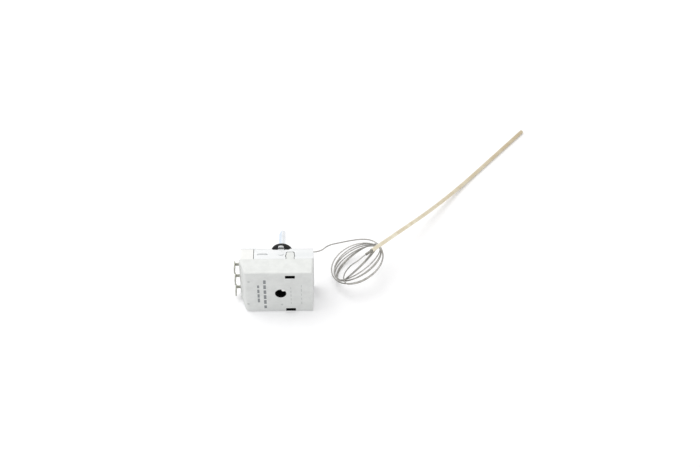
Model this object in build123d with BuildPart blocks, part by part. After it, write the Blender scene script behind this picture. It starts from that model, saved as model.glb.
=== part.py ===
from build123d import *
from math import atan2, cos, degrees, pi, radians, sin, tan
import os

# A single-pole capillary control for an oven or a boiler, in millimetres.
# Its frame: the origin is on the shaft's axis at the front face of the mounting plate,
# +Y runs out along the shaft, +Z is up as it lies on a table on its long side.
# "Behind" is a distance back from the plate's front face, so behind 28 is y = -28.

os.makedirs("parts", exist_ok=True)

# Overall case
axis_to_top = 22.0
axis_to_bottom = 20.0
case_right = 25.5
plate_left = 31.0
case_depth = 28.0
seat_gap = 0.2
running_gap = 0.05

# Mounting bracket, folded from one sheet
sheet = 1.0
bend_radius = 1.6
flange_left = 20.4
flange_depth = 12.1
screw_spacing = 28.0
screw_hole = 4.0
flange_slot_size = (8.4, 2.2)
flange_slot_place = (-13.8, 7.4)
lug_width = 4.3
lug_rise = 2.4
lug_x = 0.4
notch_half = 7.3
notch_rear = 2.1
notch_fall = 2.2
bead_rear = 8.2
bead_rise = 0.5
corner_round = 2.0

# Rear cover, a moulding that clips on
cover_seat = 0.1
cover_left = 32.0
left_draft = 5.0
right_draft = 0.8
left_corner = 2.6
right_corner = 4.5
cover_wall = 1.8
edge_round = 1.3
access_hole = 8.8
snap_x = 7.6
snap_width = 5.8
snap_front = 4.8
snap_thickness = 1.5
snap_slit = 0.5
snap_nib = 0.35
snap_nib_length = 1.4
core_slot_size = (7.6, 3.0)
core_slot_z = 17.8
post_radius = 2.0
post_inset = 6.0

# Shaft and its fittings
shaft_diameter = 6.0
shaft_front = 40.4
flat_across = 4.6
flat_start = 23.0
flat_angle = 155.0
shaft_chamfer = 0.6
bush_diameter = 9.0
bush_front = 3.6
bush_flange_diameter = 12.0
bush_flange = 1.2
clip_thickness = 0.8
clip_groove_diameter = 4.8
clip_diameter = 9.6
seal_diameter = 17.0
seal_thickness = 2.4
seal_back = 17.2
screw_thread = 5.0
screw_lead = 1.0
shaft_turn = 270.0
shaft_end_gap = 0.2

# Travel stop on the shaft
sector_inner = 5.4
sector_outer = 8.4
sector_thickness = 1.2
sector_slack = 1.0
stop_pin_diameter = 2.4
stop_pin_radius = 7.4
stop_pin_angle = -90.0

# Setting nut, its plate and the pins that it slides on
nut_diameter = 8.6
nut_spigot = 7.0
nut_clearance = 1.2
nut_share = 0.5
carrier_sheet = 1.0
carrier_half_length = 17.2
carrier_half_width = 4.2
guide_pin_diameter = 2.6
guide_pin_x = 14.4
guide_pin_past = 2.0
guide_pin_foot = 1.2

# Diaphragm capsule, its filler socket and the push pin
capsule_diameter = 23.0
capsule_thickness = 2.6
capsule_waves = 2
wave_height = 0.35
capsule_seam = 1.0
boss_diameter = 5.0
boss_height = 0.8
tube_diameter = 1.0
socket_diameter = 2.4
socket_from_rim = 1.55
socket_angle = 45.0
socket_length = 4.2
socket_end = 0.5
push_pin_diameter = 3.0
push_pin_gap = 0.15

# Switch
blade_room = 3.45
blade_sheet = 0.3
blade_width = 6.0
blade_pivot = 14.0
blade_tip = 13.4
blade_seat_gap = 0.3
contact_x = 11.0
contact_diameter = 3.4
contact_head = 1.0
contact_tail = 0.5
contact_tail_diameter = 2.4
fixed_head = 0.6
contact_gap = 0.12
strip_sheet = 0.5
strip_width = 5.0
base_floor = 3.0
base_room = 1.7
base_edge = 1.2
base_opening = 10.4
base_gap = 0.15
block_right = 20.9
calibration_thread = 3.0
calibration_tip_gap = 0.35
calibration_head_diameter = 4.6
calibration_head = 1.3
calibration_slot = 0.7
bridge_sheet = 0.8
bridge_half_length = 8.4
bridge_width = 6.0
rivet_diameter = 1.6
rivet_head_diameter = 2.8
rivet_head = 0.5
rivet_length = 1.4
pad_half = 2.5
bridge_peg = 1.2
calibration_tip = 0.6

# Push-on terminals
tab_sheet = 0.8
tab_width = 6.3
tab_leg = 2.6
tab_pitch = 12.4
tab_x = 36.0
tab_behind = 7.6
tab_length = 8.6
tab_hole = 1.8
tab_hole_share = 0.6
tab_bend = 0.7
tab_corner = 1.0
leg_x = 19.0

# Capillary tube, coil and sensing bulb
exit_point = (case_right, -2.4, 19.6)
coil_centre = (59.9, 10.9, -6.0)
coil_axis = (-0.49, 0.20, 0.85)
coil_outer = 23.0
coil_band = 4.6
coil_height = 6.0
coil_round = 2.2
bulb_diameter = 3.1
bulb_bend_radius = 330.0
neck_length = 8.5
neck_diameter = 2.1
neck_swage = 3.6
clip_x = 20.5
clip_length = 4.0
clip_wall = 1.1
root_bend_x = 12.6

# Worked-out places
top = axis_to_top
bottom = -axis_to_bottom
lead_per_degree = screw_lead / 360.0
travel = lead_per_degree * shaft_turn
cover_front = flange_depth + cover_seat
base_rear = case_depth - cover_wall - base_room
base_front = base_rear - base_floor
sector_front = sheet + bush_flange + running_gap
sector_back = sector_front + sector_thickness
nut_front = sector_back + travel + nut_clearance
blade_behind = base_front - blade_room
blade_back = blade_behind + blade_sheet
pin_end = blade_behind - push_pin_gap
capsule_stack = carrier_sheet + capsule_thickness + boss_height
nut_length = nut_share * (pin_end - nut_front - capsule_stack)
carrier_front = nut_front + nut_length
carrier_rear = carrier_front + carrier_sheet
capsule_rear = carrier_rear + capsule_thickness
pin_front = capsule_rear + boss_height
shaft_end_behind = carrier_front - shaft_end_gap
guide_pin_end = carrier_rear + guide_pin_past
socket_radius = capsule_diameter / 2 - socket_from_rim
socket_x = socket_radius * cos(radians(socket_angle))
socket_z = socket_radius * sin(radians(socket_angle))
contact_swing = travel * (contact_x + blade_pivot) / blade_pivot
front_contact_face = blade_behind - contact_head - contact_swing - contact_gap
rear_contact_face = blade_back + contact_tail + contact_gap
front_strip_back = front_contact_face - fixed_head
rear_strip_back = rear_contact_face + fixed_head + strip_sheet
strip_pads = ((-4.5, -tab_pitch, rear_strip_back), (6.5, tab_pitch, front_strip_back))


def behind(distance):
    """A sketch plane facing backwards, a distance behind the plate's front face."""
    return Plane.XZ.offset(distance)


def finish(part, name):
    """Label a finished piece and write its file."""
    part.part.label = name
    export_step(part.part, f"parts/{name}.step")


def bar(x_span, z_span, depth_span, mode=Mode.ADD):
    """A straight block between two limits each way, for strips, ribs and pads."""
    with BuildSketch(behind(depth_span[0])) as section:
        with Locations(((x_span[0] + x_span[1]) / 2, (z_span[0] + z_span[1]) / 2)):
            Rectangle(abs(x_span[1] - x_span[0]), abs(z_span[1] - z_span[0]))
    extrude(section.sketch, amount=depth_span[1] - depth_span[0], mode=mode)


def disc(radius, depth_span, at=(0, 0), mode=Mode.ADD):
    """A round boss, pin or hole along the shaft's direction."""
    with BuildSketch(behind(depth_span[0])) as section:
        with Locations(at):
            Circle(radius)
    extrude(section.sketch, amount=depth_span[1] - depth_span[0], mode=mode)


# Rear cover: a plan outline with drafted sides, hollowed from the front
with BuildPart() as rear_cover:
    with BuildSketch(Plane.XY.offset(bottom)):
        with BuildLine():
            Polyline(
                (-cover_left, -cover_front),
                (-cover_left + left_draft, -case_depth),
                (case_right - right_draft, -case_depth),
                (case_right, -cover_front),
                close=True,
            )
        make_face()
        back_corners = vertices().group_by(Axis.Y)[0].sort_by(Axis.X)
        fillet(back_corners[0], left_corner)
        fillet(back_corners[1], right_corner)
    extrude(amount=top - bottom)
    long_sides = rear_cover.faces().group_by(Axis.Z)
    rims = long_sides[-1].edges() + long_sides[0].edges()
    fillet(rims.group_by(Axis.Y)[:-1], edge_round)

    cover_depth = case_depth - cover_front
    left_slope = left_draft / cover_depth
    right_slope = right_draft / cover_depth
    inner_back = case_depth - cover_wall
    with BuildSketch(Plane.XY.offset(bottom + cover_wall)):
        with BuildLine():
            Polyline(
                (-cover_left + cover_wall, -cover_front),
                (-cover_left + cover_wall + left_slope * (inner_back - cover_front), -inner_back),
                (case_right - cover_wall - right_slope * (inner_back - cover_front), -inner_back),
                (case_right - cover_wall, -cover_front),
                close=True,
            )
        make_face()
        inner_corners = vertices().group_by(Axis.Y)[0].sort_by(Axis.X)
        fillet(inner_corners[0], left_corner - cover_wall)
        fillet(inner_corners[1], right_corner - cover_wall)
    extrude(amount=top - bottom - 2 * cover_wall, mode=Mode.SUBTRACT)

    # Four posts inside carry the switch base
    left_post = -cover_left + left_draft + left_corner + post_radius
    right_post = case_right - right_draft - right_corner - post_radius / 2
    for post_x in (left_post, right_post):
        for post_z in (bottom + post_inset, top - post_inset):
            disc(post_radius, (base_rear, inner_back), at=(post_x, post_z))

    # The round hole gives a screwdriver its way to the calibration screw
    disc(access_hole / 2, (base_rear, case_depth), mode=Mode.SUBTRACT)

    # Two snap arms reach forward, and a core slot behind each opens the back
    arm_back = cover_front + cover_wall
    for side, outer_face in ((1, top), (-1, bottom)):
        with BuildSketch(Plane.XY.offset(outer_face)):
            with Locations((snap_x, -(snap_front + arm_back) / 2)):
                Rectangle(snap_width, arm_back - snap_front)
            fillet(vertices().group_by(Axis.Y)[-1], snap_thickness)
            with Locations((snap_x, -snap_front - 3 * snap_nib_length)):
                Rectangle(snap_width + 2 * snap_nib, snap_nib_length)
        extrude(amount=-side * snap_thickness)
        with BuildSketch(behind(inner_back)):
            with Locations((snap_x, side * core_slot_z)):
                Rectangle(*core_slot_size)
        extrude(amount=cover_wall, mode=Mode.SUBTRACT)
finish(rear_cover, "rear_cover")

# Mounting bracket: front plate with a flange folded back along the top and the bottom
with BuildPart() as mounting_bracket:
    with BuildSketch(Plane.YZ.offset(-flange_left)):
        with Locations((-flange_depth / 2, (top + bottom) / 2)):
            Rectangle(flange_depth, top - bottom)
        fillet(vertices().group_by(Axis.X)[-1], bend_radius)
        with Locations((-(flange_depth + sheet) / 2, (top + bottom) / 2)):
            Rectangle(flange_depth - sheet, top - bottom - 2 * sheet, mode=Mode.SUBTRACT)
    extrude(amount=flange_left + case_right)
    with BuildSketch(behind(0)):
        with Locations((-(plate_left + flange_left) / 2 + sheet, (top + bottom) / 2)):
            Rectangle(plate_left - flange_left + 2 * sheet, top - bottom)
        fillet(vertices().group_by(Axis.X)[0], corner_round)
    extrude(amount=sheet)

    # Notches take the snap arms, with small recesses for their nibs
    notch_front = snap_front - snap_slit
    with BuildSketch(Plane.XY.offset(top)):
        with Locations((snap_x, -(notch_front + flange_depth) / 2)):
            Rectangle(snap_width + 2 * snap_slit, flange_depth - notch_front)
        fillet(vertices().group_by(Axis.Y)[-1], snap_thickness)
        with Locations((snap_x, -snap_front - 3 * snap_nib_length)):
            Rectangle(snap_width + 2 * snap_slit + 2 * snap_nib, snap_nib_length + 2 * snap_slit)
        with Locations((flange_slot_place[0], -flange_slot_place[1])):
            SlotOverall(*flange_slot_size)
    extrude(amount=bottom - top, mode=Mode.SUBTRACT)

    # A notch in the top bend leaves a lug standing, and a bead stiffens the flange behind it
    with BuildSketch(Plane.XY.offset(top)):
        with Locations((lug_x, -notch_rear / 2)):
            Rectangle(2 * notch_half, notch_rear)
        fillet(vertices().group_by(Axis.Y)[0], notch_rear * 0.9)
    extrude(amount=-notch_fall, mode=Mode.SUBTRACT)
    with BuildSketch(behind(0)):
        with Locations((lug_x, top + lug_rise - (lug_rise + 2 * notch_fall) / 2)):
            Rectangle(lug_width, lug_rise + 2 * notch_fall)
        fillet(vertices().group_by(Axis.Y)[-1], lug_width / 3)
    extrude(amount=sheet)
    with BuildSketch(Plane.XY.offset(top - sheet / 2)):
        with Locations((lug_x, -(notch_rear + bead_rear) / 2)):
            Rectangle(lug_width, bead_rear - notch_rear)
        fillet(vertices().group_by(Axis.Y)[0], lug_width / 2 - seat_gap)
    extrude(amount=sheet / 2 + bead_rise)

    # Holes for the bush, the stop pin, the guide pins and the two fixing screws
    disc(bush_diameter / 2, (0, sheet), mode=Mode.SUBTRACT)
    stop_at = (
        stop_pin_radius * cos(radians(stop_pin_angle)),
        stop_pin_radius * sin(radians(stop_pin_angle)),
    )
    disc(guide_pin_foot / 2, (0, sheet), at=stop_at, mode=Mode.SUBTRACT)
    for side in (-1, 1):
        disc(screw_hole / 2, (0, sheet), at=(0, side * screw_spacing / 2), mode=Mode.SUBTRACT)
        disc(guide_pin_foot / 2, (0, sheet), at=(side * guide_pin_x, 0), mode=Mode.SUBTRACT)
finish(mounting_bracket, "mounting_bracket")

# Bush: turned brass, staked into the plate, and the shaft runs in its bore
with BuildPart() as spindle_bush:
    disc(bush_diameter / 2, (-bush_front, sheet))
    disc(bush_flange_diameter / 2, (sheet, sheet + bush_flange))
    disc(shaft_diameter / 2 + running_gap, (-bush_front, sheet + bush_flange), mode=Mode.SUBTRACT)
    chamfer(spindle_bush.faces().sort_by(Axis.Y)[-1].edges().sort_by(SortBy.LENGTH)[-1], 0.5)
finish(spindle_bush, "spindle_bush")

# Shaft: a D end for the knob, a groove for its clip, and a screw thread inside
clip_back = bush_front + 2 * running_gap
with BuildPart() as spindle:
    disc(shaft_diameter / 2, (-shaft_front, sector_front))
    disc(screw_thread / 2, (sector_front, shaft_end_behind))
    chamfer(spindle.faces().sort_by(Axis.Y)[-1].edges(), shaft_chamfer)
    flat_out = flat_across - shaft_diameter / 2
    flat_centre = flat_out + shaft_diameter / 2
    with BuildSketch(behind(-shaft_front)):
        flat_turned = Location(
            (flat_centre * cos(radians(flat_angle)), flat_centre * sin(radians(flat_angle)), 0),
            (0, 0, flat_angle),
        )
        with Locations(flat_turned):
            Rectangle(shaft_diameter, 2 * shaft_diameter)
    extrude(amount=shaft_front - flat_start, mode=Mode.SUBTRACT)
    with BuildSketch(behind(-clip_back - clip_thickness)):
        Circle(shaft_diameter)
        Circle(clip_groove_diameter / 2, mode=Mode.SUBTRACT)
    extrude(amount=clip_thickness, mode=Mode.SUBTRACT)
finish(spindle, "spindle")

# Travel stop: a toothed sector pressed on the shaft, which meets a pin at each end of the turn
pin_half_angle = degrees(atan2(stop_pin_diameter / 2, stop_pin_radius))
sector_half_angle = (360 - shaft_turn - sector_slack) / 2 - pin_half_angle
sector_middle = stop_pin_angle + pin_half_angle + sector_slack / 2 + sector_half_angle
with BuildPart() as stop_sector:
    with BuildSketch(behind(sector_front)):
        Circle(sector_inner)
        with BuildLine():
            start = sector_middle - sector_half_angle
            arc = CenterArc((0, 0), sector_outer, start, 2 * sector_half_angle)
            Line((0, 0), arc @ 0)
            Line(arc @ 1, (0, 0))
        make_face()
        Circle(screw_thread / 2, mode=Mode.SUBTRACT)
    extrude(amount=sector_thickness)
finish(stop_sector, "stop_sector")

with BuildPart() as stop_pin:
    disc(guide_pin_foot / 2, (0, sheet), at=stop_at)
    disc(stop_pin_diameter / 2, (sheet, sector_back + 0.4), at=stop_at)
finish(stop_pin, "stop_pin")

# Snap ring in the shaft's groove, in front of the bush
with BuildPart() as retaining_ring:
    with BuildSketch(behind(-clip_back - clip_thickness)):
        Circle(clip_diameter / 2)
        Circle(clip_groove_diameter / 2, mode=Mode.SUBTRACT)
        with Locations((0, -clip_diameter / 2)):
            Rectangle(clip_groove_diameter * 0.7, clip_diameter, mode=Mode.SUBTRACT)
    extrude(amount=clip_thickness)
finish(retaining_ring, "retaining_ring")

# Black rubber ring that seals the panel hole round the shaft
with BuildPart() as shaft_seal:
    disc(seal_diameter / 2, (-seal_back - seal_thickness, -seal_back))
    disc(shaft_diameter / 2, (-seal_back - seal_thickness, -seal_back), mode=Mode.SUBTRACT)
    fillet(shaft_seal.edges().filter_by(GeomType.CIRCLE).group_by(SortBy.RADIUS)[-1], seal_thickness / 3)
finish(shaft_seal, "shaft_seal")

# Setting nut: brass, on the shaft's screw thread, with a spigot staked into its plate
with BuildPart() as setting_nut:
    disc(nut_diameter / 2, (nut_front, carrier_front))
    disc(nut_spigot / 2, (carrier_front, carrier_rear))
    disc(screw_thread / 2 + running_gap, (nut_front, carrier_rear), mode=Mode.SUBTRACT)
    chamfer(setting_nut.faces().sort_by(Axis.Y)[-1].edges().sort_by(SortBy.LENGTH)[-1], 0.5)
finish(setting_nut, "setting_nut")

# Carrier plate: keeps the nut from turning, because it slides on the two guide pins
with BuildPart() as carrier_plate:
    with BuildSketch(behind(carrier_front)):
        SlotOverall(2 * carrier_half_length, 2 * carrier_half_width)
        Circle(nut_spigot / 2, mode=Mode.SUBTRACT)
        with Locations((-guide_pin_x, 0), (guide_pin_x, 0)):
            Circle(guide_pin_diameter / 2 + running_gap, mode=Mode.SUBTRACT)
    extrude(amount=carrier_sheet)
finish(carrier_plate, "carrier_plate")

with BuildPart() as guide_pins:
    for side in (-1, 1):
        disc(guide_pin_foot / 2, (0, sheet), at=(side * guide_pin_x, 0))
        disc(guide_pin_diameter / 2, (sheet, guide_pin_end), at=(side * guide_pin_x, 0))
finish(guide_pins, "guide_pins")

# Diaphragm capsule: two thin discs with pressed rings, seam-welded round the rim
with BuildPart() as diaphragm_capsule:
    with BuildSketch(Plane.XY):
        with BuildLine():
            rim = capsule_diameter / 2
            seam_front = (carrier_rear + capsule_rear - capsule_seam) / 2
            seam_rear = seam_front + capsule_seam
            shell = rim - 2 * capsule_seam
            wave = (shell - boss_diameter / 2) / (2 * capsule_waves)
            outline = [(0, -carrier_rear), (shell, -carrier_rear), (shell, -seam_front), (rim, -seam_front)]
            outline += [(rim, -seam_rear), (shell, -seam_rear)]
            for step in range(2 * capsule_waves + 1):
                dip = wave_height if step % 2 else 0
                outline.append((shell - step * wave, -capsule_rear + dip))
            outline += [(boss_diameter / 2, -capsule_rear - boss_height), (0, -capsule_rear - boss_height)]
            Polyline(*outline, close=True)
        make_face()
    revolve(axis=Axis.Y)
finish(diaphragm_capsule, "diaphragm_capsule")

# Filler socket on the capsule's rim: the capillary's inner end slides in it as the capsule travels
with BuildPart() as capillary_socket:
    socket_at = (socket_x, socket_z)
    disc(socket_diameter / 2, (carrier_rear - socket_length, carrier_rear), at=socket_at)
    socket_bore = (carrier_rear - socket_length, carrier_rear - socket_end)
    disc(tube_diameter / 2 + running_gap, socket_bore, at=socket_at, mode=Mode.SUBTRACT)
finish(capillary_socket, "capillary_socket")

# Ceramic pin with a domed end, between the capsule's boss and the switch blade
with BuildPart() as push_pin:
    disc(push_pin_diameter / 2, (pin_front, pin_end))
    fillet(push_pin.faces().sort_by(Axis.Y)[0].edges(), push_pin_diameter / 2 - 0.1)
finish(push_pin, "push_pin")

# Switch base: a white moulded block at the terminals, and a floor inside the cover
floor_left = -cover_left + cover_wall + left_draft + seat_gap
floor_right = case_right - cover_wall - right_draft - seat_gap
floor_top = top - cover_wall - seat_gap
floor_bottom = bottom + cover_wall + seat_gap
terminal_rows = (tab_pitch, 0.0, -tab_pitch)
with BuildPart() as switch_base:
    block_back = cover_front - cover_seat
    bar((-plate_left, -block_right), (bottom + seat_gap, top - seat_gap), (sheet, block_back))
    bar((floor_left, -block_right - base_room), (floor_bottom, floor_top), (block_back, base_front))
    bar((floor_left, floor_right), (floor_bottom, floor_top), (base_front, base_rear))
    block_edges = switch_base.edges().filter_by(Axis.Y).group_by(Axis.X)[0]
    fillet(block_edges, base_edge)
    disc(base_opening / 2, (base_front, base_rear), mode=Mode.SUBTRACT)
    for row in terminal_rows:
        slot_half = tab_leg / 2 + base_gap
        slot_depth = (tab_behind - base_gap, tab_behind + tab_sheet + base_gap)
        bar((-plate_left, -block_right), (row - slot_half, row + slot_half), slot_depth, mode=Mode.SUBTRACT)
    # Pads carry the two fixed contact strips, and slots take the bridge's legs
    for pad_x, pad_z, pad_face in strip_pads:
        pad_span = (pad_z - strip_width / 2, pad_z + strip_width / 2)
        bar((pad_x - pad_half, pad_x + pad_half), pad_span, (pad_face, base_front))
        disc(rivet_diameter / 2, (pad_face, pad_face + rivet_length), at=(pad_x, pad_z), mode=Mode.SUBTRACT)
    for side in (-1, 1):
        leg_span = (side * bridge_half_length, side * (bridge_half_length - bridge_sheet))
        leg_slot = (base_front, base_front + bridge_peg)
        bar((-bridge_width / 2, bridge_width / 2), leg_span, leg_slot, mode=Mode.SUBTRACT)
finish(switch_base, "switch_base")


def terminal_blade(row):
    """The outer push-on blade of one terminal and its leg through the base."""
    row_span = (row - tab_width / 2, row + tab_width / 2)
    leg_span = (row - tab_leg / 2, row + tab_leg / 2)
    bar((-tab_x + tab_sheet, -leg_x), leg_span, (tab_behind, tab_behind + tab_sheet))
    bar((-tab_x, -tab_x + tab_sheet), row_span, (tab_behind, tab_behind + tab_length))
    bend = edges().filter_by(Axis.Z).group_by(Axis.X)[0].sort_by(Axis.Y)[-1]
    fillet(bend, tab_bend)
    tip_corners = edges().filter_by(Axis.X).group_by(Axis.Y)[0].group_by(Axis.X)[0]
    chamfer(tip_corners, tab_corner)
    with BuildSketch(Plane.YZ.offset(-tab_x)) as latch_hole:
        with Locations((-tab_behind - tab_length * tab_hole_share, row)):
            Circle(tab_hole / 2)
    extrude(latch_hole.sketch, amount=tab_sheet, mode=Mode.SUBTRACT)


def contact_strip(row, strip_back):
    """The inner leg of a fixed contact's terminal, and the strip that reaches the contact."""
    strip_front = strip_back - strip_sheet
    toward = 1 if row > 0 else -1
    row_span = (row - strip_width / 2, row + strip_width / 2)
    bar((-leg_x - tab_sheet, -leg_x), row_span, (tab_behind, strip_back))
    arm_end = contact_x + strip_width / 2
    bar((-leg_x, arm_end), row_span, (strip_front, strip_back))
    reach = (-toward * strip_width / 2, row)
    bar((contact_x - strip_width / 2, arm_end), reach, (strip_front, strip_back))
    disc(contact_tail_diameter / 2, (strip_front, strip_back), at=(contact_x, 0), mode=Mode.SUBTRACT)


# Terminal of the front contact, which closes as the shaft is turned up
with BuildPart() as terminal_front:
    terminal_blade(tab_pitch)
    contact_strip(tab_pitch, front_strip_back)
    front_hole = (front_strip_back - strip_sheet, front_strip_back)
    disc(rivet_diameter / 2, front_hole, at=strip_pads[1][:2], mode=Mode.SUBTRACT)
finish(terminal_front, "terminal_front")

# Terminal of the rear contact, which the blade rests near at the off end
with BuildPart() as terminal_rear:
    terminal_blade(-tab_pitch)
    contact_strip(-tab_pitch, rear_strip_back)
    rear_hole = (rear_strip_back - strip_sheet, rear_strip_back)
    disc(rivet_diameter / 2, rear_hole, at=strip_pads[0][:2], mode=Mode.SUBTRACT)
finish(terminal_rear, "terminal_rear")

# Common terminal: its foot is the knife edge that the switch blade rocks on
foot_front = blade_behind + blade_sheet / 2 - tab_sheet / 2
with BuildPart() as terminal_common:
    terminal_blade(0)
    foot_width = (-strip_width / 2, strip_width / 2)
    foot_back = foot_front + tab_sheet
    bar((-leg_x - tab_sheet, -leg_x), foot_width, (tab_behind, foot_back))
    foot_end = -blade_pivot - blade_seat_gap
    bar((-leg_x, foot_end), foot_width, (foot_front, foot_back))
    chamfer(edges().filter_by(Axis.Z).group_by(Axis.X)[-1], tab_sheet * 0.35)
finish(terminal_common, "terminal_common")

# Switch blade: thin spring strip with a sprung tongue cut out of its middle,
# and a rounded end that rocks on the common terminal's foot
blade_end = blade_pivot + blade_sheet / 2
with BuildPart() as contact_blade:
    with BuildSketch(behind(blade_behind)):
        with Locations(((blade_tip - blade_end) / 2, 0)):
            Rectangle(blade_tip + blade_end, blade_width)
        fillet(vertices().group_by(Axis.X)[-1], blade_width / 3)
        with Locations((-blade_pivot / 2 - 0.5, 0)):
            SlotOverall(blade_pivot * 0.55, blade_width * 0.45, mode=Mode.SUBTRACT)
            SlotOverall(blade_pivot * 0.45, blade_width * 0.2)
        with Locations((-blade_pivot * 0.3, 0)):
            Rectangle(blade_pivot * 0.12, blade_width * 0.2)
        with Locations((contact_x, 0)):
            Circle(contact_tail_diameter / 2, mode=Mode.SUBTRACT)
    extrude(amount=blade_sheet)
    rocking_edges = contact_blade.edges().filter_by(Axis.Z).group_by(Axis.X)[0]
    fillet(rocking_edges, blade_sheet / 2 - 0.0005)
finish(contact_blade, "contact_blade")

with BuildPart() as moving_contact:
    disc(contact_diameter / 2, (blade_behind - contact_head, blade_behind), at=(contact_x, 0))
    disc(contact_tail_diameter / 2, (blade_behind, blade_back), at=(contact_x, 0))
    disc(contact_diameter / 2, (blade_back, blade_back + contact_tail), at=(contact_x, 0))
    fillet(moving_contact.faces().sort_by(Axis.Y)[-1].edges(), 0.3)
finish(moving_contact, "moving_contact")

# Fixed silver contacts, each with its head towards the blade
with BuildPart() as fixed_contact_front:
    disc(contact_diameter / 2, (front_strip_back, front_contact_face), at=(contact_x, 0))
    disc(contact_tail_diameter / 2, (front_strip_back - strip_sheet, front_strip_back), at=(contact_x, 0))
    fillet(fixed_contact_front.faces().sort_by(Axis.Y)[0].edges(), 0.2)
finish(fixed_contact_front, "fixed_contact_front")

with BuildPart() as fixed_contact_rear:
    disc(contact_diameter / 2, (rear_contact_face, rear_contact_face + fixed_head), at=(contact_x, 0))
    disc(contact_tail_diameter / 2, (rear_contact_face + fixed_head, rear_strip_back), at=(contact_x, 0))
    fillet(fixed_contact_rear.faces().sort_by(Axis.Y)[-1].edges(), 0.2)
finish(fixed_contact_rear, "fixed_contact_rear")

# Rivets hold the strips to the base's pads
with BuildPart() as strip_rivets:
    for pad_x, pad_z, pad_face in strip_pads:
        head_back = pad_face - strip_sheet
        disc(rivet_head_diameter / 2, (head_back - rivet_head, head_back), at=(pad_x, pad_z))
        disc(rivet_diameter / 2, (head_back, pad_face + rivet_length), at=(pad_x, pad_z))
finish(strip_rivets, "strip_rivets")

# Calibration bridge over the base's opening, and the slotted screw in it
bridge_front = blade_back + calibration_tip_gap + calibration_tip
bridge_back = bridge_front + bridge_sheet
with BuildPart() as calibration_bridge:
    half_bridge = bridge_width / 2
    bridge_span = (-bridge_half_length, bridge_half_length)
    bar((-half_bridge, half_bridge), bridge_span, (bridge_front, bridge_back))
    for side in (-1, 1):
        leg_span = (side * bridge_half_length, side * (bridge_half_length - bridge_sheet))
        bar((-half_bridge, half_bridge), leg_span, (bridge_back, base_front + bridge_peg))
    disc(calibration_thread / 2, (bridge_front, bridge_back), mode=Mode.SUBTRACT)
finish(calibration_bridge, "calibration_bridge")

with BuildPart() as calibration_screw:
    disc(calibration_thread / 2 - 0.5, (bridge_front - calibration_tip, bridge_front))
    disc(calibration_thread / 2, (bridge_front, bridge_back))
    disc(calibration_head_diameter / 2, (bridge_back, bridge_back + calibration_head))
    slot_floor = bridge_back + calibration_head / 2
    half_head = calibration_head_diameter / 2
    half_slot = calibration_slot / 2
    slot_span = (slot_floor, bridge_back + calibration_head)
    bar((-half_head, half_head), (-half_slot, half_slot), slot_span, mode=Mode.SUBTRACT)
finish(calibration_screw, "calibration_screw")


def tube_radii(points):
    """Each bend is as wide as its shorter run and its turn allow."""
    radii = []
    for before, here, after in zip(points, points[1:], points[2:]):
        run_in = Vector(*here) - Vector(*before)
        run_out = Vector(*after) - Vector(*here)
        turn = radians(run_in.get_angle(run_out))
        radii.append(0.45 * min(run_in.length, run_out.length) / tan(turn / 2))
    return radii


def tube(points, name, diameter=tube_diameter):
    """A tube of straight runs and tangent arcs, with its radii and its volume printed."""
    radii = tube_radii(points)
    with BuildPart() as pipe:
        with BuildLine() as route:
            FilletPolyline(*points, radius=radii)
        with BuildSketch(Plane(origin=route.line @ 0, z_dir=route.line % 0)):
            Circle(diameter / 2)
        sweep()
    ideal = pi * diameter**2 / 4 * route.wire().length
    print(name, "radii", [round(r, 1) for r in radii], "length", round(route.wire().length, 1))
    print(name, "volume over section by length", round(pipe.part.volume / ideal, 4))
    return pipe


# Capillary inside the case: from the capsule's socket to its way out beside the top flange
exit_y = exit_point[1]
exit_z = exit_point[2]
root_points = [
    (socket_x, -(carrier_rear - socket_length + 2.0), socket_z),
    (socket_x, exit_y - 0.2, socket_z),
    (root_bend_x, exit_y, exit_z),
    exit_point,
]
capillary_root = tube(root_points, "capillary_root")
finish(capillary_root, "capillary_root")

# Saddle that holds the capillary against the plate and the flange
with BuildPart() as tube_clip:
    saddle = (clip_x - clip_length / 2, clip_x + clip_length / 2)
    bar(saddle, (exit_z - clip_wall, top - sheet), (sheet, -exit_y + clip_wall))
    fillet(edges().filter_by(Axis.X).group_by(Axis.Y)[0].sort_by(Axis.Z)[0], clip_wall * 0.7)
    with BuildSketch(Plane.YZ.offset(clip_x - clip_length / 2)):
        with Locations((exit_y, exit_z)):
            Circle(tube_diameter / 2)
    extrude(amount=clip_length, mode=Mode.SUBTRACT)
finish(tube_clip, "tube_clip")

# Free capillary from the case to the coil
lead_points = [
    exit_point,
    (31.0, -1.9, 19.5),
    (36.8, 6.3, 18.4),
    (45.0, 11.3, 15.6),
    (56.0, 20.5, 9.8),
    (64.5, 28.3, 3.2),
    (70.2, 28.9, -3.0),
]
capillary_lead = tube(lead_points, "capillary_lead")
finish(capillary_lead, "capillary_lead")

# Loose coil of six turns, as one leaning ring that the turns fit
coil_across = Vector(0.866, 0, 0.5)
coil_section = Plane(origin=coil_centre, x_dir=coil_across, z_dir=Vector(*coil_axis).cross(coil_across))
with BuildPart() as capillary_coil:
    with BuildSketch(coil_section):
        with Locations((coil_outer - coil_band / 2, 0)):
            Rectangle(coil_band, coil_height)
        fillet(vertices(), coil_round)
    revolve(axis=Axis(coil_centre, coil_axis))
finish(capillary_coil, "capillary_coil")

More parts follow.
